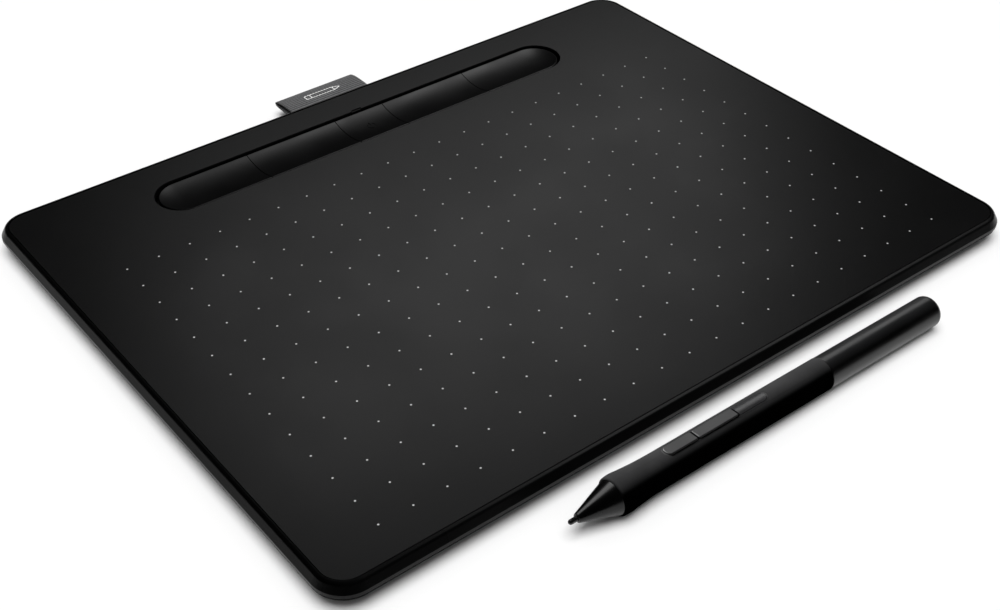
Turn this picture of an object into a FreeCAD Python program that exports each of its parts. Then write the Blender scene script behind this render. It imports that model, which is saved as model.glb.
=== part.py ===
"""Pen drawing tablet with its pen, as a parametric FreeCAD document.

Frame: millimetres, +Z up, origin on the floor under the middle of the whole set.
The tablet lies flat with its keys towards +Y.  The pen lies along X in front of it.
"""
import FreeCAD
import Part
import Sketcher
import math
import os

SIZES = {
    # case
    "case_width": 264.0, "case_depth": 200.0, "case_corner": 10.0,
    "foot_height": 0.8, "floor_top": 2.2, "seam_low": 4.7, "seam_high": 4.9,
    "base_recess": 0.3, "belly_run": 3.5, "belly_rise": 3.3, "belly_round": 0.8,
    "bottom_wall": 3.4, "lip_inset": 2.0, "lip_top": 5.8,
    "cover_top": 8.9, "cover_wall": 1.8, "deck_bottom": 6.9,
    "side_height": 1.3, "side_lean": 30.0, "shoulder": 1.4, "cover_edge": 0.35,
    "slot_play": 0.75, "slot_rise": 1.4,
    # drawing surface
    "sheet_seat": 8.3, "sheet_top": 8.8, "sheet_rim": 2.5, "sheet_gap": 0.35, "sheet_corner": 7.5,
    # keys
    "tray_y": 75.65, "tray_length": 169.6, "tray_width": 19.3, "tray_wall": 0.8,
    "tray_floor_low": 4.65, "tray_floor_top": 5.25, "key_clearance": 1.0, "key_end_clearance": 1.3,
    "key_edge_top": 8.4, "key_dip": 1.7, "key_bottom": 5.9, "key_gap": 0.3, "key_travel": 0.5,
    "power_half": 10.15, "outer_split": 46.3, "nub_radius": 1.5, "nub_height": 0.15,
    "key_rim_round": 0.3, "switch_hole": 3.6, "switch_half": 2.2, "switch_height": 0.6,
    "stem_radius": 1.2, "stem_play": 0.05,
    "symbol_radius": 1.55, "symbol_line": 0.36, "symbol_depth": 0.12,
    "light_length": 4.0, "light_depth": 0.7, "light_top": 8.45, "light_play": 0.05,
    # electronics
    "board_left": -100.0, "board_right": 90.0, "board_front": 55.0, "board_back": 89.0,
    "board_low": 3.2, "board_top": 4.2, "usb_x": -92.0, "usb_width": 7.5, "usb_height": 2.5,
    "usb_front": 93.6, "usb_mouth": 99.2, "usb_wall": 0.3, "usb_tab": 16.0, "usb_tab_back": 96.4,
    "usb_play": 0.45, "board_screw_inset": 5.0, "board_screw_front": 59.0, "board_screw_back": 85.0,
    "board_post": 2.4, "board_pilot": 0.75, "board_hole": 0.9,
    "sensor_y": -18.2, "sensor_width": 224.0, "sensor_depth": 144.0, "sensor_low": 6.0,
    "sensor_top": 6.8, "shield_thick": 0.3, "rib_thick": 1.2, "rib_x": 50.0,
    "battery_width": 72.0, "battery_depth": 46.0, "battery_thick": 2.8, "battery_y": -20.0,
    "lead_start": -30.0, "lead_end": -65.0, "lead_turn_y": 49.0, "lead_spread": 0.6,
    "lead_radius": 0.4, "lead_bend": 3.0,
    # fasteners and feet
    "screw_x": 119.5, "screw_y": 86.0, "screw_radius": 1.0, "boss_radius": 3.2, "screw_end": 6.0,
    "screw_head": 1.8, "screw_head_seat": 2.0, "recess_half": 0.9, "recess_slot": 0.2,
    "foot_length": 24.0, "foot_width": 9.0, "foot_seat": 0.4, "foot_play": 0.1, "foot_round": 0.3,
    "label_left": 25.0, "label_right": 95.0, "label_front": 20.0, "label_back": 50.0,
    "label_play": 0.2, "label_depth": 0.12,
    # pen loop
    "loop_width": 32.6, "loop_left": -17.3, "loop_thick": 0.6, "loop_middle": -1.0,
    "loop_root_y": 94.8, "loop_root_z": 5.35, "loop_root_radius": 1.35,
    "loop_fold_y": 111.9, "loop_fold_z": 5.2, "loop_fold_radius": 1.6,
    "bar_overhang": 3.8, "bar_half_height": 0.6, "bar_front": 0.5, "bar_back": 1.6,
    # pen, measured along its axis from the widest ring of the grip
    "pen_flare": 5.8, "pen_x": -51.0, "pen_y": -113.35, "pen_barrel": 5.1, "pen_rear": 5.03,
    "pen_bore": 3.5, "grip_front": -3.5, "grip_crest": -3.0, "grip_bend": 0.8, "grip_end": 13.0,
    "rim_round": 0.6, "crest_radius": 11.9,
    "cone_tip": -15.5, "cone_tip_radius": 1.4, "nib_radius": 0.75, "nib_tip": -18.3, "nib_end": 6.7,
    "seam_x": 76.8, "collar_radius": 4.1, "collar_end": 85.0, "rear_bore": 4.15, "pen_end": 126.0,
    "pen_roll": 3.5, "switch_start": 14.6, "switch_end": 53.6, "switch_width": 4.5,
    "button_width": 3.5, "button_low": 3.75, "button_top": 5.22, "button_travel": 0.3,
    "button_round": 0.5, "button_end_round": 1.45, "button_crown": 0.3, "frame_wall": 0.4,
    "carrier_radius": 3.4, "carrier_start": 22.0, "carrier_end": 118.0,
}
KEY_SPLITS = ("key_outer_left", "key_inner_left", "power_key", "key_inner_right", "key_outer_right")
CORNERS = ((-1, -1, "front_left"), (1, -1, "front_right"), (-1, 1, "back_left"), (1, 1, "back_right"))

doc = FreeCAD.newDocument("PenTablet")
sheet = doc.addObject("Spreadsheet::Sheet", "Sizes")
for row, (alias, number) in enumerate(SIZES.items(), start=1):
    sheet.set(f"B{row}", str(number))
    sheet.setAlias(f"B{row}", alias)
doc.recompute()

NODES = []


def size(expression):
    """The value of an expression whose words are the sheet's aliases."""
    return float(sheet.evalExpression(in_sheet(expression)))


def in_sheet(expression):
    """The same expression with each alias written as Sizes.alias."""
    words = []
    word = ""
    for letter in str(expression) + " ":
        if letter.isalnum() or letter in "_.":
            word += letter
            continue
        words.append(f"Sizes.{word}" if word in SIZES else word)
        words.append(letter)
        word = ""
    return "".join(words).strip()


def bind(item, prop, expression):
    item.setExpression(prop, in_sheet(expression))


# ---------------------------------------------------------------- sketches

def origin_plane(body, role):
    return next(item for item in body.Origin.OriginFeatures if item.Role == role)


def new_sketch(body, name, level="0", role="XY_Plane"):
    """An empty sketch on one of the body's origin planes, moved along the plane's normal."""
    sketch = body.newObject("Sketcher::SketchObject", name)
    sketch.AttachmentSupport = (origin_plane(body, role), [""])
    sketch.MapMode = "FlatFace"
    bind(sketch, "AttachmentOffset.Base.z", level)
    return sketch


def dimension(sketch, kind, *where, value):
    """A named driving constraint bound to an expression of the sheet."""
    index = sketch.addConstraint(Sketcher.Constraint(kind, *where, size(value)))
    name = f"d{index}"
    sketch.renameConstraint(index, name)
    bind(sketch, f"Constraints.{name}", value)


def place_point(sketch, geometry, end, point):
    dimension(sketch, "DistanceX", -1, 1, geometry, end, value=point[0])
    dimension(sketch, "DistanceY", -1, 1, geometry, end, value=point[1])


def vector(point):
    return FreeCAD.Vector(size(point[0]), size(point[1]), 0)


def outline(sketch, points, arcs=None):
    """A closed outline through points.  arcs maps a side's number to (radius, side of the bulge)."""
    arcs = arcs or {}
    first = sketch.GeometryCount
    ends = {}
    for side, point in enumerate(points):
        start = vector(point)
        stop = vector(points[(side + 1) % len(points)])
        if side not in arcs:
            ends[side] = (sketch.addGeometry(Part.LineSegment(start, stop)), 1, 2)
            continue
        radius, bulge = arcs[side]
        chord = stop - start
        normal = FreeCAD.Vector(-chord.y, chord.x, 0).normalize() * bulge
        reach = size(radius)
        rise = reach - math.sqrt(max(reach ** 2 - chord.Length ** 2 / 4, 0))
        middle = (start + stop) * 0.5 + normal * rise
        clockwise = bulge > 0
        curve = Part.Arc(stop, middle, start) if clockwise else Part.Arc(start, middle, stop)
        geometry = sketch.addGeometry(curve)
        ends[side] = (geometry, 2, 1) if clockwise else (geometry, 1, 2)
        dimension(sketch, "Radius", geometry, value=radius)
    for side, point in enumerate(points):
        geometry, start_end, stop_end = ends[side]
        before = ends[(side - 1) % len(points)]
        sketch.addConstraint(Sketcher.Constraint("Coincident", before[0], before[2], geometry, start_end))
        place_point(sketch, geometry, start_end, point)
    return first


def rectangle(sketch, left, front, right, back):
    return outline(sketch, [(left, front), (right, front), (right, back), (left, back)])


def circle(sketch, x, y, radius):
    centre = FreeCAD.Vector(size(x), size(y), 0)
    up = FreeCAD.Vector(0, 0, 1)
    geometry = sketch.addGeometry(Part.Circle(centre, up, size(radius)))
    place_point(sketch, geometry, 3, (x, y))
    dimension(sketch, "Radius", geometry, value=radius)


def rounded_rectangle(sketch, half_width, half_depth, radius, y="0"):
    """A rectangle with quarter-circle corners, centred on X = 0 and the given Y."""
    right, top = f"({half_width})", f"({half_depth})"
    inner_x, inner_y = f"({right} - ({radius}))", f"({top} - ({radius}))"
    points = [
        (f"-{inner_x}", f"{y} - {top}"), (inner_x, f"{y} - {top}"),
        (right, f"{y} - {inner_y}"), (right, f"{y} + {inner_y}"),
        (inner_x, f"{y} + {top}"), (f"-{inner_x}", f"{y} + {top}"),
        (f"-{right}", f"{y} + {inner_y}"), (f"-{right}", f"{y} - {inner_y}"),
    ]
    outline(sketch, points, arcs={side: (radius, -1) for side in (1, 3, 5, 7)})


def belt(sketch, first, first_radius, second, second_radius):
    """The outline of a belt round two circles; with equal radii it is a stadium."""
    start, stop = vector(first), vector(second)
    along = stop - start
    radii = size(first_radius), size(second_radius)
    lean = math.asin((radii[0] - radii[1]) / along.Length)
    heading = math.atan2(along.y, along.x)
    up = heading + math.pi / 2 - lean
    down = heading - math.pi / 2 + lean
    axis = FreeCAD.Vector(0, 0, 1)

    def on(centre, radius, angle):
        return centre + FreeCAD.Vector(math.cos(angle), math.sin(angle), 0) * radius

    left = sketch.addGeometry(Part.ArcOfCircle(Part.Circle(start, axis, radii[0]), up, down + 2 * math.pi))
    right = sketch.addGeometry(Part.ArcOfCircle(Part.Circle(stop, axis, radii[1]), down, up))
    low = sketch.addGeometry(Part.LineSegment(on(start, radii[0], down), on(stop, radii[1], down)))
    high = sketch.addGeometry(Part.LineSegment(on(stop, radii[1], up), on(start, radii[0], up)))
    for pair in ((left, 2, low, 1), (low, 2, right, 1), (right, 2, high, 1), (high, 2, left, 1)):
        sketch.addConstraint(Sketcher.Constraint("Tangent", *pair))
    place_point(sketch, left, 3, first)
    place_point(sketch, right, 3, second)
    dimension(sketch, "Radius", left, value=first_radius)
    dimension(sketch, "Radius", right, value=second_radius)


def stadium(sketch, half_length, radius, x="0", y="0"):
    belt(sketch, (f"{x} - (({half_length}) - ({radius}))", y), radius,
         (f"{x} + (({half_length}) - ({radius}))", y), radius)


# ---------------------------------------------------------------- features

def new_body(name):
    body = doc.addObject("PartDesign::Body", name)
    body.Label = name
    return body


def settle(body, feature, grows=True):
    """Recompute, and stop if a feature failed or changed nothing."""
    doc.recompute()
    if "Invalid" in feature.State or feature.Shape.isNull():
        raise RuntimeError(f"{body.Label}: {feature.Name} failed {feature.State}")
    solids = [item for item in body.Group if hasattr(item, "BaseFeature") and item.BaseFeature is not None]
    before = feature.BaseFeature.Shape.Volume if feature in solids else 0
    change = feature.Shape.Volume - before
    if (change <= 0) if grows else (change >= 0):
        raise RuntimeError(f"{body.Label}: {feature.Name} changed the volume by {change:.3f}")
    return feature


def pad(body, sketch, length, reverse=False):
    feature = body.newObject("PartDesign::Pad", f"{sketch.Name}_pad")
    feature.Profile = sketch
    feature.Reversed = reverse
    bind(feature, "Length", length)
    return settle(body, feature)


def pocket(body, sketch, depth, reverse=False):
    feature = body.newObject("PartDesign::Pocket", f"{sketch.Name}_pocket")
    feature.Profile = sketch
    feature.Reversed = reverse
    bind(feature, "Length", depth)
    return settle(body, feature, grows=False)


def revolve(body, sketch):
    feature = body.newObject("PartDesign::Revolution", f"{sketch.Name}_revolution")
    feature.Profile = sketch
    feature.ReferenceAxis = (sketch, ["H_Axis"])
    feature.Angle = 360
    return settle(body, feature)


def edges_where(shape, test):
    return [f"Edge{index}" for index, edge in enumerate(shape.Edges, start=1) if test(edge)]


def at_level(level):
    """True for an edge that lies wholly at one height."""
    height = size(level)
    return lambda edge: max(abs(edge.BoundBox.ZMin - height), abs(edge.BoundBox.ZMax - height)) < 1e-4


def round_edges(body, base, test, radius, name):
    feature = body.newObject("PartDesign::Fillet", name)
    feature.Base = (base, edges_where(base.Shape, test))
    bind(feature, "Radius", radius)
    doc.recompute()
    if "Invalid" in feature.State:
        raise RuntimeError(f"{body.Label}: {name} failed")
    return feature


def bevel(body, base, level, inward, along_wall, name):
    """A sloping face from the flat face at that level, inward on it, down or up the wall."""
    feature = body.newObject("PartDesign::Chamfer", name)
    feature.Base = (base, edges_where(base.Shape, at_level(level)))
    feature.ChamferType = "Two distances"
    bind(feature, "Size", inward)
    bind(feature, "Size2", along_wall)
    doc.recompute()
    flat = [face for face in feature.Shape.Faces if at_level(level)(face)]
    run = (base.Shape.BoundBox.XLength - max(face.BoundBox.XLength for face in flat)) / 2
    feature.FlipDirection = abs(run - size(inward)) > 1e-3
    return settle(body, feature, grows=False)


def box(name, low, high):
    """A Part::Box from one corner to the other, each given as three expressions."""
    item = doc.addObject("Part::Box", name)
    item.Label = name
    for axis, prop, start, stop in zip("xyz", ("Length", "Width", "Height"), low, high):
        bind(item, prop, f"({stop}) - ({start})")
        bind(item, f"Placement.Base.{axis}", start)
    return item


def upright(name, x, y, low, high, radius):
    """A Part::Cylinder standing on Z."""
    item = doc.addObject("Part::Cylinder", name)
    bind(item, "Radius", radius)
    bind(item, "Height", f"({high}) - ({low})")
    for axis, value in zip("xyz", (x, y, low)):
        bind(item, f"Placement.Base.{axis}", value)
    return item


def rod(name, start, stop, radius, y="0", z="0"):
    """A Part::Cylinder lying along X."""
    item = doc.addObject("Part::Cylinder", name)
    item.Label = name
    item.Placement = FreeCAD.Placement(FreeCAD.Vector(), FreeCAD.Rotation(FreeCAD.Vector(0, 1, 0), 90))
    bind(item, "Radius", radius)
    bind(item, "Height", f"({stop}) - ({start})")
    for axis, value in zip("xyz", (start, y, z)):
        bind(item, f"Placement.Base.{axis}", value)
    return item


def join(name, items):
    item = doc.addObject("Part::MultiFuse", name)
    item.Label = name
    item.Shapes = items
    return item


def group(name, items):
    item = doc.addObject("Part::Compound", name)
    item.Label = name
    item.Links = items
    return item


def cut(name, base, tool):
    item = doc.addObject("Part::Cut", name)
    item.Label = name
    item.Base = base
    item.Tool = tool
    return item


def common(name, items):
    item = doc.addObject("Part::MultiCommon", name)
    item.Label = name
    item.Shapes = items
    return item


# ---------------------------------------------------------------- tablet case

def case_outline(sketch, inset):
    radius = f"case_corner - {inset}"
    rounded_rectangle(sketch, f"case_width / 2 - {inset}", f"case_depth / 2 - {inset}", radius)


def sheet_outline(sketch, gap):
    """The outline of the drawing surface's seat, or of the surface itself with its gap all round."""
    inset = f"(sheet_rim + {gap})"
    rounded_rectangle(sketch, f"case_width / 2 - {inset}", f"case_depth / 2 - {inset}", f"sheet_corner - {gap}")


def cut_box(body, name, low, high):
    """Cut a box-shaped notch out of a body."""
    sketch = new_sketch(body, name, high[2])
    rectangle(sketch, low[0], low[1], high[0], high[1])
    return pocket(body, sketch, f"({high[2]}) - ({low[2]})")


def at_screws(sketch, radius):
    for side_x, side_y, _ in CORNERS:
        circle(sketch, f"{side_x} * screw_x", f"{side_y} * screw_y", radius)


def top_cover():
    body = new_body("top_cover")
    blank = new_sketch(body, "cover_blank", "seam_high")
    case_outline(blank, "0")
    solid = pad(body, blank, "cover_top - seam_high")
    drop = "(cover_top - seam_high - side_height)"
    slope = bevel(body, solid, "cover_top", f"{drop} * tan(side_lean)", drop, "cover_side")
    crown = round_edges(body, slope, at_level("cover_top"), "shoulder", "cover_shoulder")
    round_edges(body, crown, at_level("seam_high"), "cover_edge", "cover_lower_edge")
    inside = new_sketch(body, "cover_inside", "deck_bottom")
    case_outline(inside, "cover_wall")
    pocket(body, inside, "deck_bottom - seam_high")
    seat = new_sketch(body, "cover_seat", "cover_top")
    sheet_outline(seat, "0")
    pocket(body, seat, "cover_top - sheet_seat")
    keys = new_sketch(body, "cover_key_opening", "cover_top")
    stadium(keys, "tray_length / 2", "tray_width / 2", y="tray_y")
    pocket(body, keys, "cover_top - seam_high")
    cut_light_notch(body, "cover_light_notch", "deck_bottom - 1", "cover_top")
    cut_back_slot(body, "cover_loop_slot", "loop_middle", "loop_width / 2 + slot_play",
                  "seam_high - 1", "deck_bottom")
    cut_back_slot(body, "cover_usb_slot", "usb_x", "usb_width / 2 + usb_play", "seam_high - 1", "deck_bottom + 0.2")
    bosses = new_sketch(body, "cover_bosses", "seam_low - 0.5")
    at_screws(bosses, "boss_radius - 0.7")
    pad(body, bosses, "deck_bottom - seam_low + 0.5")
    holes = new_sketch(body, "cover_screw_holes", "deck_bottom - 0.6")
    at_screws(holes, "screw_radius + 0.03")
    pocket(body, holes, "deck_bottom - 0.6 - seam_low + 0.5")
    return body


def cut_back_slot(body, name, middle, half, low, high):
    """A slot through the back wall of either cover."""
    cut_box(body, name, (f"{middle} - ({half})", "case_depth / 2 - bottom_wall - 0.5", low),
            (f"{middle} + ({half})", "case_depth / 2 + 1", high))


def cut_light_notch(body, name, low, high):
    """The notch behind the power key that the status light's pipe fills."""
    back = "tray_y + tray_width / 2"
    cut_box(body, name, ("-light_length / 2 - light_play", f"{back} - 1", low),
            ("light_length / 2 + light_play", f"{back} + light_depth + 2 * light_play", high))


def drawing_surface():
    body = new_body("drawing_surface")
    blank = new_sketch(body, "surface_outline", "sheet_seat")
    sheet_outline(blank, "sheet_gap")
    stadium(blank, "tray_length / 2", "tray_width / 2", y="tray_y")
    pad(body, blank, "sheet_top - sheet_seat")
    cut_light_notch(body, "surface_light_notch", "sheet_seat", "sheet_top")
    return body


def bottom_cover():
    body = new_body("bottom_cover")
    blank = new_sketch(body, "base_blank", "foot_height")
    case_outline(blank, "base_recess")
    solid = pad(body, blank, "seam_low - foot_height")
    slope = bevel(body, solid, "foot_height", "belly_run", "belly_rise", "base_slope")
    round_edges(body, slope, at_level("foot_height + belly_rise"), "belly_round", "base_round")
    lip = new_sketch(body, "base_lip", "seam_low")
    case_outline(lip, "lip_inset")
    pad(body, lip, "lip_top - seam_low")
    inside = new_sketch(body, "base_inside", "lip_top")
    case_outline(inside, "bottom_wall")
    pocket(body, inside, "lip_top - floor_top")
    base_posts(body)
    base_cuts(body)
    return body


def base_posts(body):
    ribs = new_sketch(body, "base_ribs", "floor_top")
    for place in ("-2 * rib_x", "-rib_x", "rib_x", "2 * rib_x"):
        rectangle(ribs, f"{place} - rib_thick / 2", "-86", f"{place} + rib_thick / 2", "44")
    pad(body, ribs, "sensor_low - shield_thick - floor_top")
    bosses = new_sketch(body, "base_bosses", "floor_top")
    at_screws(bosses, "boss_radius")
    pad(body, bosses, "seam_low - 0.5 - floor_top")
    posts = new_sketch(body, "base_board_posts", "floor_top")
    for x, y in board_screw_places():
        circle(posts, x, y, "board_post")
    pad(body, posts, "board_low - floor_top")
    rests = new_sketch(body, "base_bar_rests", "floor_top")
    for side in (-1, 1):
        middle = f"loop_middle + {side} * (loop_width / 2 + 2.6)"
        rectangle(rests, f"{middle} - 1", "loop_root_y - 1", f"{middle} + 1", "case_depth / 2 - bottom_wall + 0.5")
    pad(body, rests, "loop_root_z - bar_half_height - floor_top")


def base_cuts(body):
    heads = new_sketch(body, "base_screw_heads", "floor_top + 0.2")
    at_screws(heads, "screw_head_seat")
    pocket(body, heads, "floor_top + 0.2 - foot_height")
    holes = new_sketch(body, "base_screw_holes", "seam_low")
    at_screws(holes, "screw_radius + 0.15")
    pocket(body, holes, "seam_low - foot_height")
    pilots = new_sketch(body, "base_board_pilots", "board_low")
    for x, y in board_screw_places():
        circle(pilots, x, y, "board_pilot")
    pocket(body, pilots, "board_low - 1.4")
    feet = new_sketch(body, "base_foot_seats", "foot_height + foot_seat")
    for side_x, side_y, _ in CORNERS:
        foot_outline(feet, side_x, side_y, "foot_play")
    pocket(body, feet, "foot_seat")
    cut_box(body, "base_label_seat", ("label_left", "label_front", "foot_height"),
            ("label_right", "label_back", "foot_height + label_depth"))
    cut_back_slot(body, "base_loop_slot", "loop_middle", "loop_width / 2 + slot_play",
                  "seam_low - slot_rise", "lip_top + 1")
    cut_back_slot(body, "base_usb_slot", "usb_x", "usb_width / 2 + usb_play", "board_top - 0.1", "lip_top + 1")


def foot_outline(sketch, side_x, side_y, play):
    """A stadium whose outer end is centred under the case screw."""
    reach = "foot_length / 2 - foot_width / 2"
    stadium(sketch, f"foot_length / 2 + {play}", f"foot_width / 2 + {play}",
            x=f"{side_x} * (screw_x - ({reach}))", y=f"{side_y} * screw_y")


def feet():
    made = []
    for side_x, side_y, where in CORNERS:
        body = new_body(f"foot_{where}")
        sketch = new_sketch(body, f"foot_{where}_outline", "0")
        foot_outline(sketch, side_x, side_y, "0")
        solid = pad(body, sketch, "foot_height + foot_seat")
        round_edges(body, solid, at_level("0"), "foot_round", f"foot_{where}_edge")
        made.append(body)
    return made


def case_screws():
    screws = []
    for side_x, side_y, where in CORNERS:
        x, y = f"{side_x} * screw_x", f"{side_y} * screw_y"
        head = upright(f"screw_head_{where}", x, y, "floor_top - 0.8", "floor_top + 0.2", "screw_head")
        shank = upright(f"screw_shank_{where}", x, y, "floor_top + 0.1", "screw_end", "screw_radius")
        slots = []
        for way, half_x, half_y in (("along", "recess_half", "recess_slot"), ("across", "recess_slot", "recess_half")):
            slots.append(box(f"screw_slot_{way}_{where}", (f"{x} - {half_x}", f"{y} - {half_y}", "floor_top - 0.9"),
                             (f"{x} + {half_x}", f"{y} + {half_y}", "floor_top - 0.4")))
        solid = join(f"screw_{where}", [head, shank])
        cross = join(f"screw_recess_{where}", slots)
        screws.append(cut(f"case_screw_{where}", solid, cross))
    return group("case_screws", screws)


def rating_label():
    return box("rating_label", ("label_left + label_play", "label_front + label_play", "foot_height + 0.02"),
               ("label_right - label_play", "label_back - label_play", "foot_height + label_depth"))


# ---------------------------------------------------------------- keys

def key_ends():
    """Left and right end of each key, from the outer left one to the outer right one."""
    half = "(tray_length / 2 - key_end_clearance)"
    gap = "key_gap / 2"
    return [
        (f"-{half}", f"-outer_split - {gap}"), (f"-outer_split + {gap}", f"-power_half - {gap}"),
        (f"-power_half + {gap}", f"power_half - {gap}"), (f"power_half + {gap}", f"outer_split - {gap}"),
        (f"outer_split + {gap}", half),
    ]


KEY_HALF_WIDTH = "(tray_width / 2 - key_clearance)"


def key_outline(sketch, left, right, rounded):
    """A rectangle, or a rectangle with one end a half circle."""
    low, high = f"tray_y - {KEY_HALF_WIDTH}", f"tray_y + {KEY_HALF_WIDTH}"
    if rounded < 0:
        start = f"({left}) + {KEY_HALF_WIDTH}"
        points = [(start, low), (right, low), (right, high), (start, high)]
        tip = (left, "tray_y")
    elif rounded > 0:
        start = f"({right}) - {KEY_HALF_WIDTH}"
        points = [(start, high), (left, high), (left, low), (start, low)]
        tip = (right, "tray_y")
    else:
        rectangle(sketch, left, low, right, high)
        return
    outline(sketch, points + [tip], arcs={3: (KEY_HALF_WIDTH, -1), 4: (KEY_HALF_WIDTH, -1)})


def key_cap(name, left, right, rounded):
    body = new_body(name)
    blank = new_sketch(body, f"{name}_outline", "key_bottom")
    key_outline(blank, left, right, rounded)
    pad(body, blank, "key_edge_top - key_bottom")
    hollow_key(body, name, left, right, rounded)
    nub = new_sketch(body, f"{name}_nub", "key_bottom - nub_height")
    circle(nub, f"(({left}) + ({right})) / 2", "tray_y", "nub_radius")
    pad(body, nub, "nub_height")
    return body


def hollow_key(body, name, left, right, rounded):
    """The trough along the top of a key, ending in a bowl over a rounded end."""
    radius = f"(({KEY_HALF_WIDTH}^2 + key_dip^2) / (2 * key_dip))"
    axis_z = f"key_edge_top - key_dip + {radius}"
    start = f"({left}) + {KEY_HALF_WIDTH}" if rounded < 0 else left
    stop = f"({right}) - {KEY_HALF_WIDTH}" if rounded > 0 else right
    trough = new_sketch(body, f"{name}_trough", start, role="YZ_Plane")
    circle(trough, "tray_y", axis_z, radius)
    hollow = pocket(body, trough, f"({stop}) - ({start})", reverse=True)
    if rounded:
        hollow = body.newObject("PartDesign::SubtractiveSphere", f"{name}_bowl")
        bind(hollow, "Radius", radius)
        for axis, value in zip("xyz", (start if rounded < 0 else stop, "tray_y", axis_z)):
            bind(hollow, f"Placement.Base.{axis}", value)
        settle(body, hollow, grows=False)
    round_edges(body, hollow, at_level("key_edge_top"), "key_rim_round", f"{name}_rim")


def engrave_power_symbol(body):
    """A broken ring with a short bar through the break, the usual standby sign."""
    level = "key_edge_top - key_dip + 0.6"
    depth = "0.6 + symbol_depth"
    middle_y = "tray_y + 0.3"
    ring = new_sketch(body, "symbol_ring", level)
    broken_ring(ring, middle_y, "symbol_radius + symbol_line / 2", "symbol_radius - symbol_line / 2")
    pocket(body, ring, depth)
    bar = new_sketch(body, "symbol_bar", level)
    rectangle(bar, "-symbol_line / 2", f"{middle_y} + 0.2", "symbol_line / 2", f"{middle_y} + symbol_radius + 0.5")
    pocket(body, bar, depth)


def broken_ring(sketch, middle_y, outer, inner):
    """A ring with a gap at its top, as a band between two arcs that go round by the bottom."""
    half_gap = 38
    centre = vector(("0", middle_y))
    rims = []
    for radius in (outer, inner):
        side, rise = f"({radius}) * sin({half_gap})", f"({radius}) * cos({half_gap})"
        left, right = (f"-{side}", f"{middle_y} + {rise}"), (side, f"{middle_y} + {rise}")
        low = centre - FreeCAD.Vector(0, size(radius), 0)
        arc = sketch.addGeometry(Part.Arc(vector(left), low, vector(right)))
        dimension(sketch, "DistanceX", -1, 1, arc, 1, value=left[0])
        dimension(sketch, "DistanceX", -1, 1, arc, 2, value=right[0])
        place_point(sketch, arc, 3, ("0", middle_y))
        dimension(sketch, "Radius", arc, value=radius)
        rims.append((arc, left, right))
    for end, at in ((1, 1), (2, 2)):
        side = sketch.addGeometry(Part.LineSegment(vector(rims[0][at]), vector(rims[1][at])))
        sketch.addConstraint(Sketcher.Constraint("Coincident", rims[0][0], end, side, 1))
        sketch.addConstraint(Sketcher.Constraint("Coincident", rims[1][0], end, side, 2))


def keys():
    made = []
    for name, (left, right), rounded in zip(KEY_SPLITS, key_ends(), (-1, 0, 0, 0, 1)):
        body = key_cap(name, left, right, rounded)
        if name == "power_key":
            engrave_power_symbol(body)
        made.append(body)
    return made


def key_middles():
    return [f"(({left}) + ({right})) / 2" for left, right in key_ends()]


def key_tray():
    body = new_body("key_tray")
    floor = new_sketch(body, "tray_floor", "tray_floor_low")
    stadium(floor, "tray_length / 2 + tray_wall", "tray_width / 2 + tray_wall", y="tray_y")
    for middle in key_middles():
        circle(floor, middle, "tray_y", "switch_hole")
    pad(body, floor, "tray_floor_top - tray_floor_low")
    wall = new_sketch(body, "tray_wall_ring", "tray_floor_top")
    stadium(wall, "tray_length / 2 + tray_wall", "tray_width / 2 + tray_wall", y="tray_y")
    stadium(wall, "tray_length / 2", "tray_width / 2", y="tray_y")
    pad(body, wall, "deck_bottom - tray_floor_top")
    cut_light_notch(body, "tray_light_notch", "tray_floor_low", "deck_bottom")
    return body


def key_switches():
    switches = []
    for number, middle in enumerate(key_middles(), start=1):
        case = box(f"switch_case_{number}", (f"{middle} - switch_half", "tray_y - switch_half", "board_top"),
                   (f"{middle} + switch_half", "tray_y + switch_half", "board_top + switch_height"))
        stem = upright(f"switch_stem_{number}", middle, "tray_y", "board_top + switch_height - 0.1",
                       "key_bottom - nub_height - key_travel - stem_play", "stem_radius")
        switches.append(join(f"switch_{number}", [case, stem]))
    return group("key_switches", switches)


def status_light():
    back = "tray_y + tray_width / 2 + light_play"
    pipe = box("status_light_pipe", ("-light_length / 2", back, "board_top + 0.7"),
               ("light_length / 2", f"{back} + light_depth", "light_top"))
    lamp = box("status_led", ("-0.8", back, "board_top"), ("0.8", f"{back} + light_depth", "board_top + 0.6"))
    return [pipe, lamp]


# ---------------------------------------------------------------- electronics

def board_screw_places():
    columns = ("board_left + board_screw_inset", "board_right - board_screw_inset + 1.5")
    return [(x, y) for x in columns for y in ("board_screw_front", "board_screw_back")]


def main_board():
    plate = box("board_plate", ("board_left", "board_front", "board_low"),
                ("board_right", "board_back", "board_top"))
    tab = box("board_tab", ("board_left", "board_back - 1", "board_low"),
              ("board_left + usb_tab", "usb_tab_back", "board_top"))
    holes = [upright(f"board_hole_{number}", x, y, "board_low - 1", "board_top + 1", "board_hole")
             for number, (x, y) in enumerate(board_screw_places(), start=1)]
    return cut("main_board", join("board_blank", [plate, tab]), join("board_holes", holes))


def board_screws():
    screws = []
    for number, (x, y) in enumerate(board_screw_places(), start=1):
        head = upright(f"board_screw_head_{number}", x, y, "board_top", "board_top + 0.8", "1.5")
        shank = upright(f"board_screw_shank_{number}", x, y, "1.6", "board_top + 0.1", "0.7")
        screws.append(join(f"board_screw_{number}", [head, shank]))
    return group("board_screws", screws)


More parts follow.
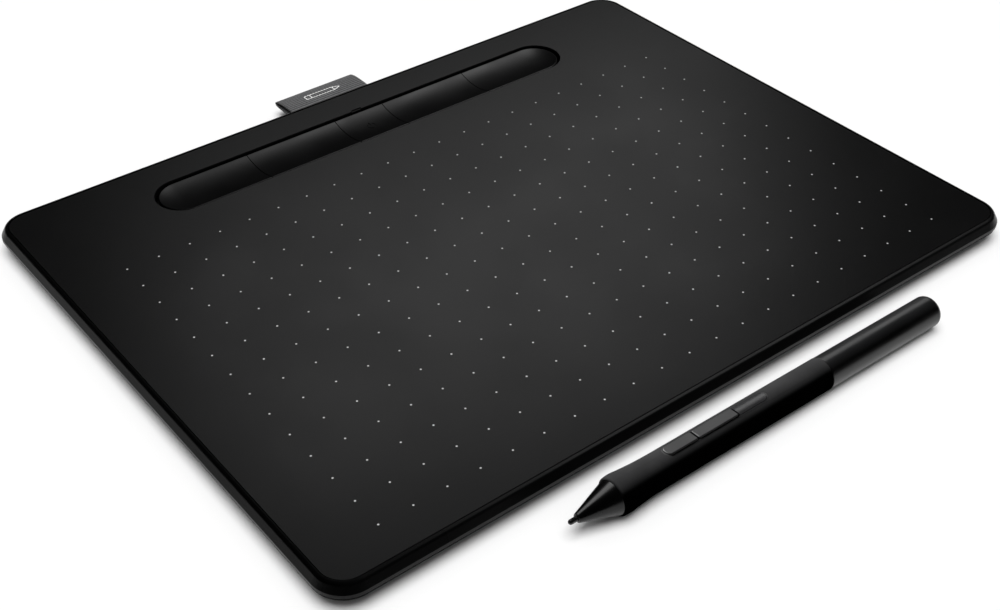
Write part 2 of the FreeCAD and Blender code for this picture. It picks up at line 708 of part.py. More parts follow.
def usb_port():
    body = new_body("usb_shell")
    sketch = new_sketch(body, "usb_section", "-usb_front", role="XZ_Plane")
    for inset in ("0", "usb_wall"):
        half = f"(usb_width / 2 - {inset})"
        low, high = f"board_top + {inset}", f"board_top + usb_height - {inset}"
        shelf = "board_top + 0.9"
        foot = f"(usb_width / 2 - 1 - {inset} / 2)"
        outline(sketch, [(f"usb_x - {foot}", low), (f"usb_x + {foot}", low), (f"usb_x + {half}", shelf),
                         (f"usb_x + {half}", high), (f"usb_x - {half}", high), (f"usb_x - {half}", shelf)])
    pad(body, sketch, "usb_mouth - usb_front", reverse=True)
    block = box("usb_block", ("usb_x - 3", "usb_front", "board_top + 0.9"),
                ("usb_x + 3", "usb_front + 1.2", "board_top + usb_height - usb_wall"))
    blade = box("usb_blade", ("usb_x - 2", "usb_front + 1", "board_top + 1.1"),
                ("usb_x + 2", "usb_mouth - 0.8", "board_top + 1.6"))
    return [body, join("usb_tongue", [block, blade])]


def chips():
    return [
        box("control_chip", ("-44", "57", "board_top"), ("-37", "64", "board_top + 0.9")),
        box("radio_module", ("48", "56", "board_top"), ("63", "63", "board_top + 1.4")),
        box("board_connector", ("12", "56", "board_top"), ("28", "60", "board_top + 0.9")),
        box("battery_connector", ("-68", "board_front", "board_top"), ("-62", "board_front + 4", "board_top + 1.1")),
    ]


def sensor_parts():
    half_x, half_y = "sensor_width / 2", "sensor_depth / 2"
    board = box("sensor_board", (f"-{half_x}", f"sensor_y - {half_y}", "sensor_low"),
                (half_x, f"sensor_y + {half_y}", "sensor_top"))
    plate = box("shield_plate", (f"2 - {half_x}", f"sensor_y - {half_y} + 1.2", "sensor_low - shield_thick"),
                (f"{half_x} - 2", f"sensor_y + {half_y} - 7.8", "sensor_low"))
    plug = box("sensor_connector", ("12", f"sensor_y + {half_y} - 6.3", "sensor_low - 0.95"),
               ("28", f"sensor_y + {half_y} - 2.3", "sensor_low"))
    return [board, plate, plug]


def sensor_cable():
    """A flat flex that steps down from the sensor board to the main board."""
    body = new_body("sensor_cable")
    sketch = new_sketch(body, "cable_side", "14", role="YZ_Plane")
    start, stop = "sensor_y + sensor_depth / 2 - 2.3", "56"
    high, low, thick = "sensor_low - 0.5", "board_top + 0.4", "0.15"
    outline(sketch, [(start, high), (f"{start} + 0.8", high), (f"{stop} - 0.8", low), (stop, low),
                     (stop, f"{low} + {thick}"), (f"{stop} - 0.8 + 0.05", f"{low} + {thick}"),
                     (f"{start} + 0.8 + 0.05", f"{high} + {thick}"), (start, f"{high} + {thick}")])
    pad(body, sketch, "12")
    return body


def battery():
    body = new_body("battery_pack")
    sketch = new_sketch(body, "battery_outline", "floor_top")
    half = "battery_width / 2", "battery_depth / 2"
    rectangle(sketch, f"-{half[0]}", f"battery_y - {half[1]}", half[0], f"battery_y + {half[1]}")
    solid = pad(body, sketch, "battery_thick")
    round_edges(body, solid, lambda edge: edge.BoundBox.YLength > 20, "battery_thick * 0.45", "battery_sides")
    return body


def bent_tube(points, radius, bend):
    """A round tube of straight runs joined by tangent arcs."""
    edges = []
    here = points[0]
    for before, corner, after in zip(points, points[1:], points[2:]):
        into, away = (corner - before).normalize(), (after - corner).normalize()
        turn = into.getAngle(away)
        reach = bend * math.tan(turn / 2)
        start, stop = corner - into * reach, corner + away * reach
        inward = (away - into).normalize()
        middle = corner + inward * (bend / math.cos(turn / 2) - bend)
        edges += [Part.LineSegment(here, start).toShape(), Part.Arc(start, middle, stop).toShape()]
        here = stop
    edges.append(Part.LineSegment(here, points[-1]).toShape())
    section = Part.Wire(Part.makeCircle(radius, points[0], points[1] - points[0]))
    return Part.Wire(edges).makePipeShell([section], True, False)


def battery_lead():
    """Two wires from the battery, round the end of a rib, to the plug on the board."""
    level = size("board_top + 0.25")
    start_y = size("battery_y + battery_depth / 2")
    wires = []
    for side in ("-lead_spread", "lead_spread"):
        out, across = size(f"lead_start + {side}"), size(f"lead_end + {side}")
        turn = size(f"lead_turn_y + {side}")
        route = [(out, start_y), (out, turn), (across, turn), (across, size("board_front"))]
        wires.append(bent_tube([FreeCAD.Vector(x, y, level) for x, y in route],
                               size("lead_radius"), size("lead_bend")))
    item = doc.addObject("Part::Feature", "battery_lead")
    item.Label = "battery_lead"
    item.Shape = Part.makeCompound(wires)
    return item


# ---------------------------------------------------------------- pen loop

def pen_loop():
    body = new_body("pen_loop")
    sketch = new_sketch(body, "loop_side", "loop_left", role="YZ_Plane")
    root, fold = ("loop_root_y", "loop_root_z"), ("loop_fold_y", "loop_fold_z")
    belt(sketch, root, "loop_root_radius", fold, "loop_fold_radius")
    belt(sketch, root, "loop_root_radius - loop_thick", fold, "loop_fold_radius - loop_thick")
    pad(body, sketch, "loop_width")
    return body


def loop_bar():
    half = "(loop_width / 2 + bar_overhang)"
    return box("loop_bar", (f"loop_middle - {half}", "loop_root_y - bar_front", "loop_root_z - bar_half_height"),
               (f"loop_middle + {half}", "loop_root_y + bar_back", "loop_root_z + bar_half_height"))


# ---------------------------------------------------------------- pen
# Its own axis is X, from the nib (-X) to the tail, and its side buttons face +Z.

def pen_grip():
    body = new_body("pen_grip")
    sketch = new_sketch(body, "grip_profile", role="XZ_Plane")
    bend_radius = "pen_flare - 0.15"
    drop, run = f"({bend_radius} - pen_barrel)", "(grip_end - grip_bend)"
    hollow = f"({run}^2 + {drop}^2) / (2 * {drop})"
    points = [
        ("grip_front", "pen_bore"), ("grip_front", "pen_flare - 0.65"), ("grip_crest", "pen_flare - 0.155"),
        ("grip_bend", bend_radius), ("grip_end", "pen_barrel"), ("seam_x - 0.15", "pen_barrel"),
        ("seam_x", "pen_barrel - 0.12"), ("seam_x", "collar_radius"), ("collar_end - 0.3", "collar_radius"),
        ("collar_end", "collar_radius - 0.2"), ("collar_end", "pen_bore"),
    ]
    outline(sketch, points, arcs={1: ("rim_round", 1), 2: ("crest_radius", 1), 3: (hollow, -1)})
    revolve(body, sketch)
    slot = new_sketch(body, "grip_switch_slot", "3")
    stadium(slot, "(switch_end - switch_start) / 2 + 0.05", "switch_width / 2 + 0.05",
            x="(switch_start + switch_end) / 2")
    pocket(body, slot, "4", reverse=True)
    return body


def pen_nose_cone():
    body = new_body("pen_nose_cone")
    sketch = new_sketch(body, "nose_profile", role="XZ_Plane")
    bore = "nib_radius + 0.1"
    points = [
        ("cone_tip", bore), ("cone_tip", "cone_tip_radius - 0.25"), ("cone_tip + 0.25", "cone_tip_radius"),
        ("grip_front - 0.1", "pen_flare - 0.7"), ("grip_front", "pen_flare - 0.85"),
        ("grip_front", "pen_bore - 0.05"), ("0.4", "pen_bore - 0.05"), ("0.4", bore),
    ]
    outline(sketch, points, arcs={1: ("0.25", 1)})
    revolve(body, sketch)
    return body


def nib_parts():
    body = new_body("pen_nib")
    sketch = new_sketch(body, "nib_profile", role="XZ_Plane")
    points = [
        ("nib_tip", "0"), ("nib_tip + nib_radius", "nib_radius"), ("nib_end", "nib_radius"), ("nib_end", "0"),
    ]
    outline(sketch, points, arcs={0: ("nib_radius", 1)})
    revolve(body, sketch)
    return [body, rod("nib_plunger", "nib_end", "14.5", "nib_radius")]


def pen_rear_barrel():
    body = new_body("pen_rear_barrel")
    sketch = new_sketch(body, "rear_profile", role="XZ_Plane")
    points = [
        ("seam_x + 0.05", "rear_bore"), ("seam_x + 0.05", "pen_rear - 0.12"), ("seam_x + 0.2", "pen_rear"),
        ("pen_end - 0.5", "pen_rear"), ("pen_end", "0"), ("pen_end - 3.5", "0"), ("pen_end - 3.5", "rear_bore"),
    ]
    outline(sketch, points, arcs={3: ("(pen_rear^2 + 0.25) / 1", 1)})
    solid = revolve(body, sketch)
    rim = size("pen_end - 0.5")
    round_edges(body, solid, lambda edge: abs(edge.BoundBox.XMin - rim) < 1e-4 > edge.BoundBox.XLength,
                "2.2", "rear_end_round")
    return body


def switch_frame():
    body = new_body("switch_frame_ring")
    sketch = new_sketch(body, "switch_ring", "3.6")
    middle = "(switch_start + switch_end) / 2"
    half = "(switch_end - switch_start) / 2"
    stadium(sketch, half, "switch_width / 2", x=middle)
    stadium(sketch, f"{half} - frame_wall", "switch_width / 2 - frame_wall", x=middle)
    pad(body, sketch, "2")
    skin = rod("switch_frame_skin", "switch_start - 1", "switch_end + 1", "pen_barrel - 0.03")
    return common("pen_switch_frame", [body, skin])


def button(name, start, stop, front_round):
    """A side button; front_round is the corner radius of its end nearer the nib."""
    body = new_body(name)
    sketch = new_sketch(body, f"{name}_outline", "button_low")
    half, back_round = "(button_width / 2)", "button_round"
    points = [
        (f"{start} + {front_round}", f"-{half}"), (f"{stop} - {back_round}", f"-{half}"),
        (stop, f"-{half} + {back_round}"), (stop, f"{half} - {back_round}"),
        (f"{stop} - {back_round}", half), (f"{start} + {front_round}", half),
        (start, f"{half} - {front_round}"), (start, f"-{half} + {front_round}"),
    ]
    rounds = {1: back_round, 3: back_round, 5: front_round, 7: front_round}
    outline(sketch, points, arcs={side: (radius, -1) for side, radius in rounds.items()})
    solid = pad(body, sketch, "button_top - button_low")
    round_edges(body, solid, at_level("button_top"), "button_crown", f"{name}_crown")
    return body


def pen_inlay():
    body = new_body("inlay_blank")
    sketch = new_sketch(body, "inlay_outline", "button_low")
    start, stop, half = "switch_start + 27.1", "switch_end - 0.5", "(button_width / 2)"
    turn = f"{stop} - {half}"
    points = [(start, f"-{half}"), (turn, f"-{half}"), (stop, "0"), (turn, half), (start, half)]
    outline(sketch, points, arcs={1: (half, -1), 2: (half, -1)})
    pad(body, sketch, "2")
    skin = rod("inlay_skin", "switch_start", "switch_end + 1", "pen_barrel")
    return common("pen_inlay", [body, skin])


def hollow_rod(name, start, stop, radius, bore):
    return cut(name, rod(f"{name}_outside", start, stop, radius),
               rod(f"{name}_hole", f"{start} - 1", f"{stop} + 1", bore))


def pen_carrier():
    """A trough that holds the board, with a solid tail bored for three spare nibs."""
    blank = rod("carrier_blank", "carrier_start", "carrier_end", "carrier_radius")
    trough = box("carrier_trough", ("carrier_start - 1", "-5", "0.4"), ("carrier_end - 18", "5", "5"))
    bores = [rod(f"carrier_bore_{number}", "carrier_end - 14", "carrier_end + 1", "nib_radius + 0.05",
                 y=y, z=z) for number, (y, z) in enumerate(spare_nib_places(), start=1)]
    return cut("pen_carrier", blank, join("carrier_tools", [trough] + bores))


def spare_nib_places():
    places = []
    for turn in (90, 210, 330):
        angle = math.radians(turn)
        places.append((f"{1.9 * math.cos(angle):.4f}", f"{1.9 * math.sin(angle):.4f}"))
    return places


def spare_nibs():
    return group("spare_nibs", [
        rod(f"spare_nib_{number}", "carrier_end - 13.9", "carrier_end + 0.8", "nib_radius", y=y, z=z)
        for number, (y, z) in enumerate(spare_nib_places(), start=1)])


def pressure_sensor():
    shell = rod("sensor_drum", "13", "21", "3.3")
    socket = rod("sensor_socket", "12", "16", "nib_radius + 0.2")
    return cut("pressure_sensor", shell, socket)


def pen_electronics():
    board = box("pen_board", ("23", "-2.5", "0.4"), ("96", "2.5", "1.2"))
    switches = []
    for number, x in enumerate(("switch_start + 9", "switch_start + 19.5"), start=1):
        case = box(f"pen_switch_case_{number}", (f"{x} - 1.5", "-1.5", "1.2"), (f"{x} + 1.5", "1.5", "2.8"))
        stem = upright(f"pen_switch_stem_{number}", x, "0", "2.7", "button_low - button_travel - 0.1", "0.6")
        switches.append(join(f"pen_switch_{number}", [case, stem]))
    return [board, group("pen_switches", switches)]


def pen_parts():
    made = [pen_grip(), pen_nose_cone(), switch_frame(), pen_inlay(), pen_rear_barrel(), pen_carrier()]
    made += nib_parts() + pen_electronics()
    made.append(button("pen_lower_button", "switch_start + 0.55", "switch_start + 11.3", "button_end_round"))
    made.append(button("pen_upper_button", "switch_start + 11.7", "switch_start + 26.7", "button_round"))
    made.append(hollow_rod("pen_core", "0.5", "12.5", "1.9", "nib_radius + 0.15"))
    made.append(hollow_rod("pen_coil", "2", "11", "3.1", "1.95"))
    made.append(pressure_sensor())
    made.append(spare_nibs())
    return made


# ---------------------------------------------------------------- placing and writing

def set_middle():
    """The middle of the set along Y: between the pen's near side and the loop's fold."""
    return (size("loop_fold_y + loop_fold_radius") + size("pen_y - pen_flare")) / 2


def pen_tilt():
    """The pen rests on its grip flare and on its thinner tail, so its axis leans a little."""
    run = size("pen_end - 2.7")
    flare, tail = size("pen_flare"), size("pen_rear")
    return math.degrees(math.asin(flare / math.hypot(run, tail)) - math.atan2(tail, run))


def pen_placement():
    lean = FreeCAD.Rotation(FreeCAD.Vector(0, 1, 0), pen_tilt())
    roll = FreeCAD.Rotation(FreeCAD.Vector(1, 0, 0), -size("pen_roll"))
    base = FreeCAD.Vector(size("pen_x"), size("pen_y") - set_middle(), size("pen_flare"))
    return FreeCAD.Placement(base, lean * roll)


def move(item, placement):
    """Put the whole sub-part in its place; a primitive's own place becomes part of it."""
    if item.TypeId == "Part::Box" or item.TypeId == "Part::Cylinder":
        item = group_of_one(item)
    item.Placement = placement
    NODES.append(item)


def group_of_one(item):
    name = item.Label
    item.Label = f"{name}_solid"
    holder = doc.addObject("Part::Compound", f"{name}_node")
    holder.Links = [item]
    holder.Label = name
    return holder


def tablet_parts():
    made = [top_cover(), drawing_surface(), bottom_cover(), key_tray(), key_switches()]
    made += keys() + status_light() + feet()
    made += [case_screws(), rating_label(), main_board(), board_screws()]
    made += usb_port() + chips() + sensor_parts()
    made += [sensor_cable(), battery(), battery_lead(), pen_loop(), loop_bar()]
    return made


def check_document():
    doc.recompute()
    faults = [item.Label for item in doc.Objects if {"Invalid", "Error"} & set(item.State)]
    for item in NODES:
        if item.Shape.isNull() or not item.Shape.isValid() or not item.Shape.Solids:
            faults.append(f"{item.Label} has a bad shape")
    if faults:
        raise RuntimeError("; ".join(faults))


def write_parts():
    os.makedirs("parts", exist_ok=True)
    for old in os.listdir("parts"):
        os.remove(os.path.join("parts", old))
    for item in NODES:
        item.Shape.exportStep(os.path.join("parts", f"{item.Label}.step"))
        limits = item.Shape.BoundBox
        print(f"{item.Label:20s} {len(item.Shape.Solids):2d} solids {item.Shape.Volume:10.2f} mm3  "
              f"x {limits.XMin:8.2f} {limits.XMax:8.2f}  y {limits.YMin:8.2f} {limits.YMax:8.2f}  "
              f"z {limits.ZMin:6.3f} {limits.ZMax:6.3f}")


def main():
    tablet_place = FreeCAD.Placement(FreeCAD.Vector(0, -set_middle(), 0), FreeCAD.Rotation())
    for item in tablet_parts():
        move(item, tablet_place)
    for item in pen_parts():
        move(item, pen_placement())
    check_document()
    write_parts()
    print(f"pen tilt {pen_tilt():.4f} deg, set middle {set_middle():.4f} mm, {len(NODES)} nodes")


main()
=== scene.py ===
"""Looks of the pen drawing tablet: materials, the woven pen loop, studio light, floor and camera."""
import math

import bmesh
import bpy
from mathutils import Matrix, Quaternion, Vector


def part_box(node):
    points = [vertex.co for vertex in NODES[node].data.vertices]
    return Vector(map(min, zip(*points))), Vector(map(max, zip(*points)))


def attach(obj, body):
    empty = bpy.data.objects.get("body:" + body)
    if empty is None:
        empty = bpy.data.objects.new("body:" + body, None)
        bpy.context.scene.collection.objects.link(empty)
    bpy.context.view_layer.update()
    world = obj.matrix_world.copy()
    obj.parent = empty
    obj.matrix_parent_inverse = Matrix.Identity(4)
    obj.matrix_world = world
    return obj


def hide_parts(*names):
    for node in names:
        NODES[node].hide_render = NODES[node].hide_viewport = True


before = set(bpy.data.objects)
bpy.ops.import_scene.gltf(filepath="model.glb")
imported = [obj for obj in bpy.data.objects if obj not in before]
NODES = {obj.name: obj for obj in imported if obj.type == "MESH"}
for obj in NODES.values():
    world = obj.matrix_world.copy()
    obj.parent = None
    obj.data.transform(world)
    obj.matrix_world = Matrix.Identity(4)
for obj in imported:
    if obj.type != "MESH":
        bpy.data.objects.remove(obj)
MM = 0.001
bpy.context.view_layer.update()


# ---------------------------------------------------------------- places read from the frame

def middle(node):
    low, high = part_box(node)
    return (low + high) / 2


KEYS = ["key_outer_left", "key_inner_left", "power_key", "key_inner_right", "key_outer_right"]
CASE = middle("bottom_cover")
SURFACE_LOW, SURFACE_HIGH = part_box("drawing_surface")
LOOP_LOW, LOOP_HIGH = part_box("pen_loop")
CASE_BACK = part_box("bottom_cover")[1].y
BAR = middle("loop_bar")


# ---------------------------------------------------------------- node helpers

class Look:
    """A material and short ways to add nodes to it."""

    def __init__(self, name, color, rough, metal=0.0, specular=0.5):
        self.material = bpy.data.materials.new(name)
        self.material.use_nodes = True
        self.tree = self.material.node_tree
        self.shader = self.tree.nodes["Principled BSDF"]
        self.color = (*color, 1.0)
        self.rough = rough
        self.shader.inputs["Base Color"].default_value = self.color
        self.shader.inputs["Roughness"].default_value = rough
        self.shader.inputs["Metallic"].default_value = metal
        self.shader.inputs["Specular IOR Level"].default_value = specular
        self.place = self.node("ShaderNodeTexCoord").outputs["Object"]
        self.normal = None

    def node(self, kind, **settings):
        made = self.tree.nodes.new(kind)
        for name, value in settings.items():
            setattr(made, name, value)
        return made

    def link(self, source, target):
        self.tree.links.new(source, target)

    def math(self, operation, first, second=None, third=None):
        made = self.node("ShaderNodeMath", operation=operation)
        for socket, value in zip(made.inputs, (first, second, third)):
            if value is None:
                continue
            if isinstance(value, (int, float)):
                socket.default_value = value
            else:
                self.link(value, socket)
        return made.outputs[0]

    def stretched(self, scale):
        """Object coordinates, with each axis scaled on its own."""
        mapping = self.node("ShaderNodeMapping")
        mapping.inputs["Scale"].default_value = scale
        self.link(self.place, mapping.inputs["Vector"])
        return mapping.outputs[0]

    def noise(self, scale, detail=2.0, where=None):
        made = self.node("ShaderNodeTexNoise")
        made.inputs["Scale"].default_value = scale
        made.inputs["Detail"].default_value = detail
        self.link(where or self.place, made.inputs["Vector"])
        return made.outputs["Fac"]

    def spread(self, value, low, high, start=0.0, stop=1.0):
        """value, which runs from start to stop, mapped to low..high."""
        made = self.node("ShaderNodeMapRange")
        made.interpolation_type = "SMOOTHSTEP"
        for name, number in (("From Min", start), ("From Max", stop), ("To Min", low), ("To Max", high)):
            made.inputs[name].default_value = number
        self.link(value, made.inputs["Value"])
        return made.outputs["Result"]

    def mix(self, factor, first, second):
        made = self.node("ShaderNodeMix", data_type="RGBA")
        self.link(factor, made.inputs["Factor"])
        for socket, value in ((made.inputs["A"], first), (made.inputs["B"], second)):
            if isinstance(value, tuple):
                socket.default_value = (*value[:3], 1.0)
            else:
                self.link(value, socket)
        return made.outputs["Result"]

    def paint(self, color):
        self.link(color, self.shader.inputs["Base Color"])

    def tone(self, scale, amount, where=None):
        """The base colour, a little lighter and darker in soft clouds."""
        dark = tuple(c * (1 - amount) for c in self.color[:3])
        light = tuple(c * (1 + amount) for c in self.color[:3])
        cloud = self.spread(self.noise(scale, 4.0, where), 0.0, 1.0, 0.3, 0.7)
        self.paint(self.mix(cloud, dark, light))
        return self

    def wear(self, scale, amount, where=None):
        """Roughness that drifts by amount either way."""
        drift = self.noise(scale, 5.0, where)
        self.link(self.spread(drift, self.rough - amount, self.rough + amount, 0.3, 0.7),
                  self.shader.inputs["Roughness"])
        return self

    def bump(self, height, strength, distance):
        made = self.node("ShaderNodeBump")
        made.inputs["Strength"].default_value = strength
        made.inputs["Distance"].default_value = distance
        self.link(height, made.inputs["Height"])
        if self.normal:
            self.link(self.normal, made.inputs["Normal"])
        self.normal = made.outputs["Normal"]
        self.link(self.normal, self.shader.inputs["Normal"])
        return self

    def grain(self, size_mm, strength, detail=3.0, where=None):
        """Fine moulded or cast grain of that size."""
        return self.bump(self.noise(1 / (size_mm * MM), detail, where), strength, size_mm * MM * 0.25)


def wear_on(nodes, look):
    for name in nodes:
        mesh = NODES[name].data
        mesh.materials.clear()
        mesh.materials.append(look.material)


# ---------------------------------------------------------------- plastics

BLACK = (0.0080, 0.0080, 0.0083)


def cover_look():
    """Satin black, with dull adhesive tape on the floor of the seat round the drawing surface."""
    look = Look("cover_satin", BLACK, 0.30, specular=0.12)
    look.tone(9.0, 0.10)
    look.wear(35.0, 0.03)
    height = look.node("ShaderNodeSeparateXYZ")
    look.link(look.place, height.inputs[0])
    facing_up = look.node("ShaderNodeSeparateXYZ")
    look.link(look.node("ShaderNodeNewGeometry").outputs["Normal"], facing_up.inputs[0])
    low = look.math("LESS_THAN", height.outputs[2], SURFACE_HIGH.z - 0.2 * MM)
    seat = look.math("MULTIPLY", low, look.math("GREATER_THAN", facing_up.outputs[2], 0.97))
    look.link(look.spread(seat, 0.12, 0.0), look.shader.inputs["Specular IOR Level"])
    return look.grain(0.35, 0.10)


def base_look():
    """The lower cover: the same black, duller."""
    look = Look("base_matt", (0.0060, 0.0060, 0.0062), 0.42, specular=0.2)
    look.shader.inputs["IOR"].default_value = 1.12
    look.tone(11.0, 0.10)
    look.wear(40.0, 0.04)
    return look.grain(0.45, 0.15)


def key_look():
    """Satin black of the five keys, a little rougher than the cover."""
    look = Look("key_satin", (0.0070, 0.0070, 0.0073), 0.42)
    look.tone(40.0, 0.12)
    look.wear(60.0, 0.04)
    return look.grain(0.30, 0.12)


def surface_look():
    """Paper-textured film with pale dots printed in a grid."""
    look = Look("surface_film", BLACK, 0.30)
    columns, rows = 21, 14
    pitch_x, pitch_y = 10.88 * MM, 10.44 * MM
    grid_x, grid_y = CASE.x - 0.3 * MM, CASE.y - 18.2 * MM
    dot_radius, dot_soft = 0.30 * MM, 0.05 * MM
    split = look.node("ShaderNodeSeparateXYZ")
    look.link(look.place, split.inputs[0])
    inside = None
    offsets = []
    for output, start, pitch, count in ((0, grid_x, pitch_x, columns), (1, grid_y, pitch_y, rows)):
        first = start - (count - 1) / 2 * pitch
        steps = look.math("DIVIDE", look.math("SUBTRACT", split.outputs[output], first), pitch)
        nearest = look.math("ROUND", steps)
        offsets.append(look.math("MULTIPLY", look.math("SUBTRACT", steps, nearest), pitch))
        within = look.math("MULTIPLY", look.math("GREATER_THAN", nearest, -0.5),
                           look.math("LESS_THAN", nearest, count - 0.5))
        inside = within if inside is None else look.math("MULTIPLY", inside, within)
    square = look.math("ADD", look.math("POWER", offsets[0], 2.0), look.math("POWER", offsets[1], 2.0))
    distance = look.math("SQRT", square)
    dot = look.spread(distance, 1.0, 0.0, dot_radius - dot_soft, dot_radius + dot_soft)
    dot = look.math("MULTIPLY", dot, inside)
    cloud = look.spread(look.noise(9.0, 4.0), 0.0, 1.0, 0.3, 0.7)
    ground = look.mix(cloud, tuple(c * 0.48 for c in BLACK), tuple(c * 0.56 for c in BLACK))
    ink = look.spread(look.noise(900.0), 0.85, 1.0, 0.3, 0.7)
    pale = look.node("ShaderNodeCombineColor")
    for socket in pale.inputs:
        look.link(ink, socket)
    look.paint(look.mix(dot, ground, pale.outputs[0]))
    look.wear(30.0, 0.02)
    look.grain(0.22, 0.16)
    return look


def tray_look():
    look = Look("tray_dull", (0.006, 0.006, 0.006), 0.6)
    look.tone(80.0, 0.2)
    return look.grain(0.3, 0.3)


def rubber_look():
    look = Look("foot_rubber", (0.016, 0.016, 0.017), 0.75)
    look.tone(200.0, 0.25)
    look.wear(150.0, 0.08)
    return look.grain(0.5, 0.5)


def label_look():
    """A blank silver-grey film, faintly brushed."""
    look = Look("label_film", (0.30, 0.30, 0.31), 0.42)
    where = look.stretched((20.0, 900.0, 1.0))
    look.tone(1.0, 0.10, where)
    look.wear(90.0, 0.05)
    return look.grain(0.2, 0.15)


def light_pipe_look():
    look = Look("light_pipe_smoked", (0.05, 0.05, 0.05), 0.35)
    look.tone(600.0, 0.06)
    return look.grain(0.15, 0.1)


def lamp_look():
    look = Look("lamp_clear", (0.75, 0.74, 0.68), 0.15)
    look.shader.inputs["Coat Weight"].default_value = 0.5
    look.tone(1500.0, 0.1)
    return look.grain(0.2, 0.05)


# ---------------------------------------------------------------- metals and electronics

def steel_look(name, color, rough, stroke):
    """Rolled or drawn steel, with fine strokes along one axis."""
    look = Look(name, color, rough, metal=1.0)
    where = look.stretched(stroke)
    look.tone(1.0, 0.12, where)
    look.wear(1.0, 0.08, where)
    return look.bump(look.noise(1.0, 4.0, where), 0.2, 0.02 * MM)


def board_look():
    """Solder mask over copper tracks, with a scatter of plated vias."""
    look = Look("board_mask", (0.010, 0.060, 0.030), 0.38)
    tracks = look.node("ShaderNodeTexBrick")
    tracks.offset = 0.37
    tracks.inputs["Scale"].default_value = 260.0
    tracks.inputs["Mortar Size"].default_value = 0.06
    look.link(look.place, tracks.inputs["Vector"])
    vias = look.node("ShaderNodeTexVoronoi")
    vias.inputs["Scale"].default_value = 330.0
    look.link(look.place, vias.inputs["Vector"])
    mask = look.mix(tracks.outputs["Fac"], (0.008, 0.050, 0.025), (0.016, 0.105, 0.050))
    hole = look.spread(vias.outputs["Distance"], 1.0, 0.0, 0.10, 0.14)
    look.paint(look.mix(hole, mask, (0.55, 0.42, 0.20)))
    look.wear(400.0, 0.06)
    return look.bump(tracks.outputs["Fac"], 0.3, 0.03 * MM)


def package_look():
    look = Look("package_black", (0.014, 0.014, 0.015), 0.55)
    look.tone(900.0, 0.25)
    look.wear(500.0, 0.06)
    return look.grain(0.12, 0.35)


def flex_look():
    """Amber film over parallel conductors."""
    look = Look("flex_film", (0.30, 0.13, 0.02), 0.28)
    waves = look.node("ShaderNodeTexWave", bands_direction="X")
    waves.inputs["Scale"].default_value = 320.0
    look.link(look.place, waves.inputs["Vector"])
    look.paint(look.mix(waves.outputs["Fac"], (0.20, 0.08, 0.015), (0.45, 0.21, 0.05)))
    return look.bump(waves.outputs["Fac"], 0.3, 0.03 * MM)


def battery_look():
    """Crinkled pouch foil."""
    look = Look("battery_foil", (0.46, 0.46, 0.48), 0.34, metal=0.9)
    look.tone(60.0, 0.10)
    look.wear(120.0, 0.10)
    look.bump(look.noise(90.0, 6.0), 0.35, 0.3 * MM)
    return look


def wire_look():
    look = Look("wire_jacket", (0.24, 0.012, 0.012), 0.4)
    look.tone(300.0, 0.15)
    return look.grain(0.2, 0.15)


def ferrite_look():
    look = Look("core_ferrite", (0.035, 0.035, 0.038), 0.5)
    look.tone(1200.0, 0.3)
    return look.grain(0.25, 0.5)


def coil_look():
    """Turns of fine enamelled wire side by side."""
    look = Look("coil_copper", (0.55, 0.20, 0.08), 0.3, metal=1.0)
    turns = look.node("ShaderNodeTexWave", bands_direction="X")
    turns.inputs["Scale"].default_value = 1000.0
    look.link(look.place, turns.inputs["Vector"])
    look.paint(look.mix(turns.outputs["Fac"], (0.22, 0.07, 0.03), (0.65, 0.27, 0.12)))
    return look.bump(turns.outputs["Fac"], 0.8, 0.08 * MM)


# ---------------------------------------------------------------- pen

def grip_look():
    """Soft-touch matt black with a fine, even tooth."""
    look = Look("pen_soft_touch", (0.0300, 0.0300, 0.0305), 0.62, specular=0.0)
    look.tone(120.0, 0.12)
    look.wear(90.0, 0.05)
    return look.grain(0.18, 0.25)


def cone_look():
    look = Look("pen_cone_gloss", (0.004, 0.004, 0.0042), 0.27, specular=0.5)
    look.shader.inputs["IOR"].default_value = 1.38
    look.tone(60.0, 0.15)
    look.wear(120.0, 0.03)
    return look.grain(0.4, 0.03)


def rear_look():
    look = Look("pen_rear_satin", (0.009, 0.009, 0.0095), 0.31)
    look.tone(60.0, 0.12)
    look.wear(70.0, 0.03)
    return look.grain(0.3, 0.05)


def button_look():
    look = Look("pen_button_satin", (0.013, 0.013, 0.0135), 0.42)
    look.tone(150.0, 0.12)
    look.wear(120.0, 0.04)
    return look.grain(0.2, 0.12)


def inlay_look():
    look = Look("pen_inlay_gloss", (0.020, 0.020, 0.021), 0.26)
    look.tone(100.0, 0.12)
    look.wear(200.0, 0.03)
    return look.grain(0.3, 0.05)


def nib_look():
    look = Look("nib_polymer", (0.014, 0.014, 0.014), 0.30)
    look.tone(700.0, 0.2)
    look.wear(900.0, 0.06)
    return look.grain(0.1, 0.15)


def inner_look():
    look = Look("inner_grey", (0.14, 0.14, 0.145), 0.5)
    look.tone(150.0, 0.12)
    look.wear(200.0, 0.06)
    return look.grain(0.25, 0.2)


